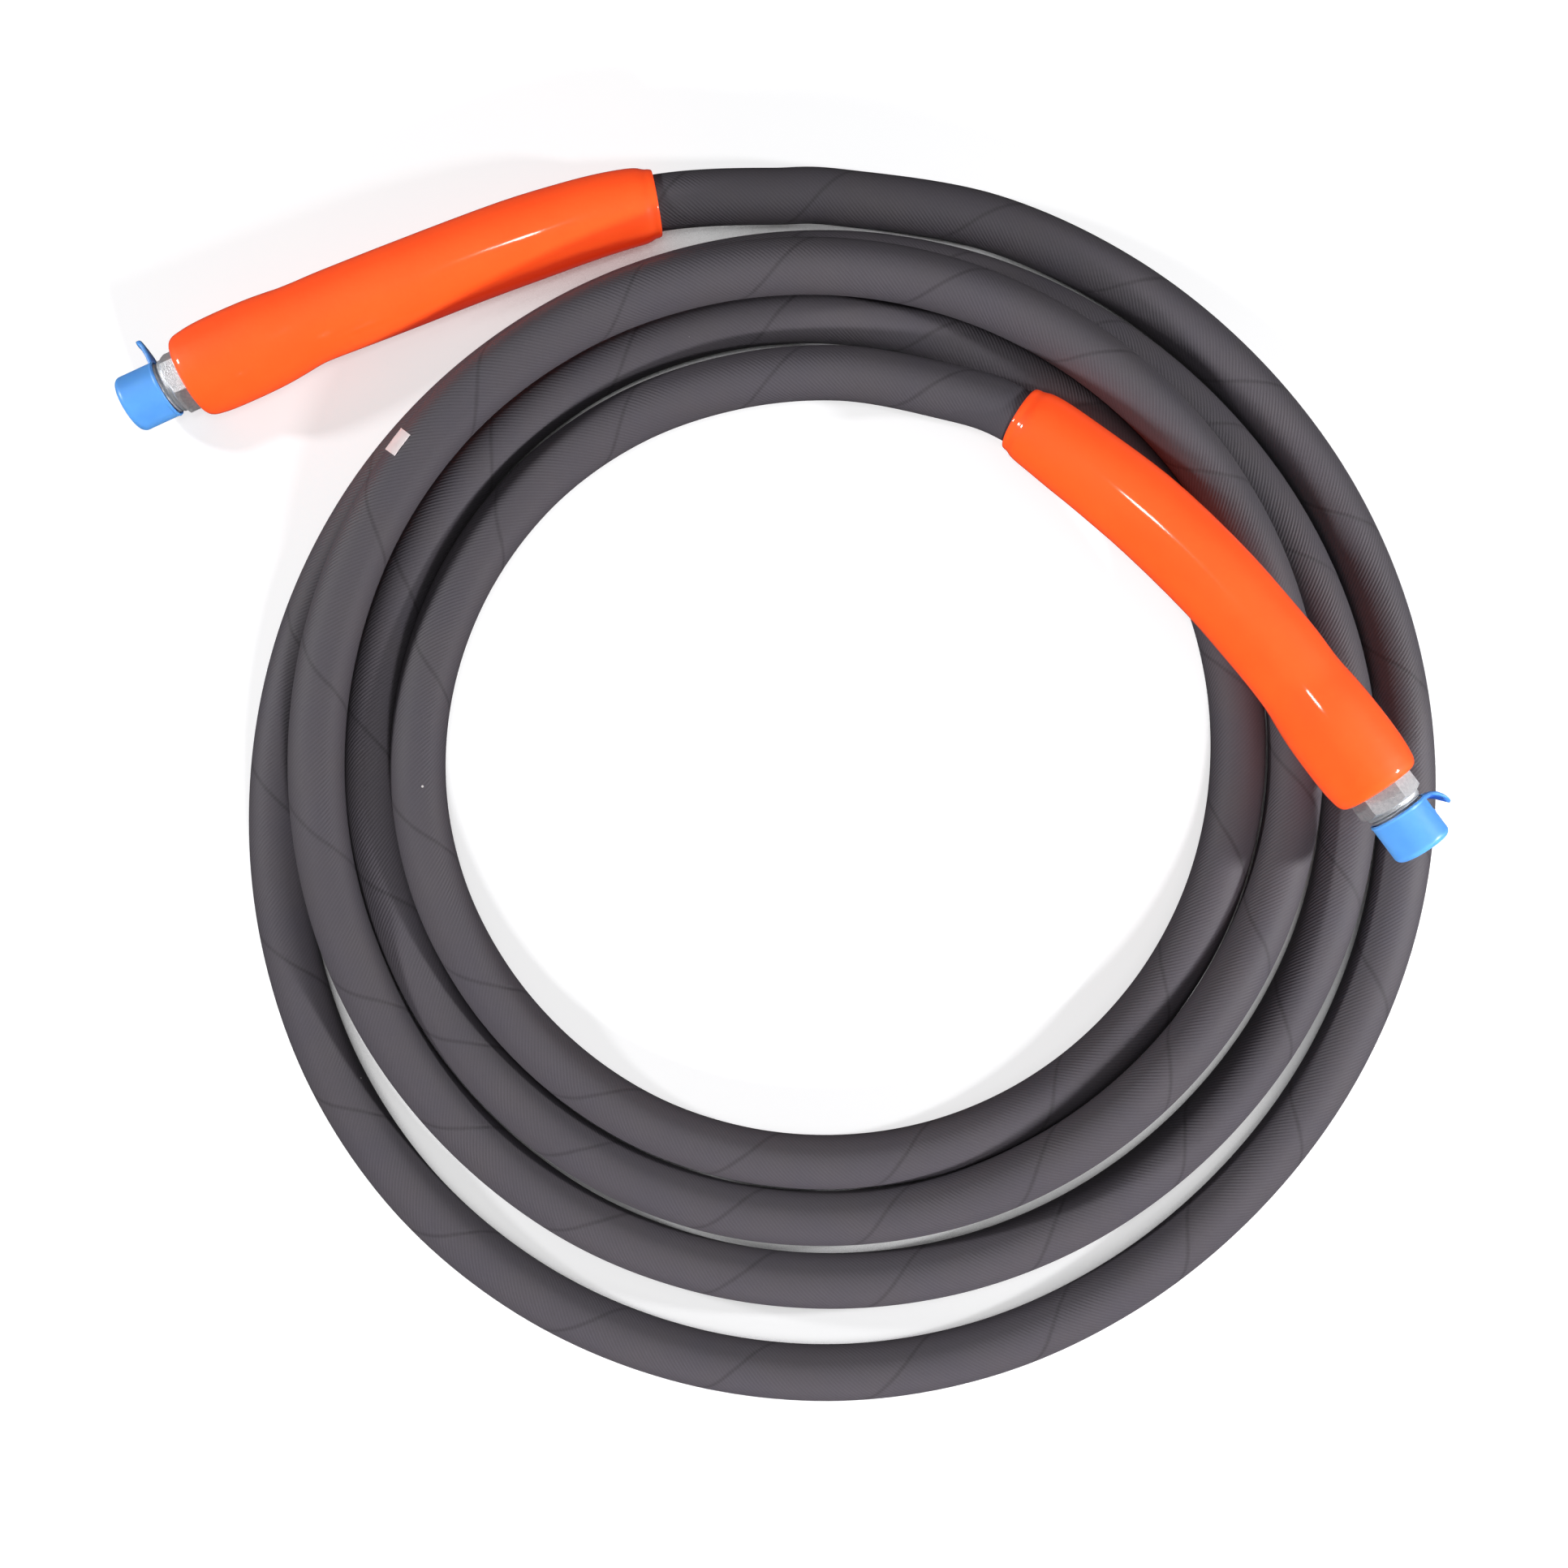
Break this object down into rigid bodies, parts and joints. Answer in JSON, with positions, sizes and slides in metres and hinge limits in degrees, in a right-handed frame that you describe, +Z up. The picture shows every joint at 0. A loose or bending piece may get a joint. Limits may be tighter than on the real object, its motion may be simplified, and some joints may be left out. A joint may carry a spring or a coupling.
{
  "type": "hydraulic hose assembly",
  "caption": "Coiled rubber-covered hydraulic hose with crimped pipe-thread ends under slip-on vinyl sleeves, each thread closed by a push-on cap with a pull tab.",
  "frame": {"origin": "on the floor under the middle of the whole assembly's box", "axes": "+Z up, out of the coil's plane; +X to the right in the picture, which looks straight down; +Y towards the picture's top"},
  "size_m": [0.5376, 0.5056, 0.0663],
  "materials": {
    "cover_rubber": "semi-matte with a cloth-wrap impression",
    "braid_wire": "brass-coated high-tensile wire",
    "tube_rubber": "smooth",
    "plated_steel": "zinc plated",
    "orange_vinyl": "glossy dip-moulded vinyl",
    "blue_plastic": "satin polyethylene",
    "white_label": "blank matt film"
  },
  "bodies": {
    "hose": {"hose_cover": "cover_rubber", "wire_braid": "braid_wire", "inner_tube": "tube_rubber", "fitting_stem_a": "plated_steel", "fitting_stem_b": "plated_steel", "crimp_ferrule_a": "plated_steel", "crimp_ferrule_b": "plated_steel", "hose_sleeve_a": "orange_vinyl", "hose_sleeve_b": "orange_vinyl", "hose_label": "white_label"},
    "cap_a": {"thread_cap_a": "blue_plastic"},
    "cap_b": {"thread_cap_b": "blue_plastic"}
  },
  "joints": [
    {"name": "cap_a_pull", "type": "slide", "parent": "hose", "child": "cap_a", "axis": [-0.9076, -0.4198, 0], "range_m": [0, 0.025]},
    {"name": "cap_b_pull", "type": "slide", "parent": "hose", "child": "cap_b", "axis": [0.5721, -0.8141, 0.1], "range_m": [0, 0.025]}
  ]
}
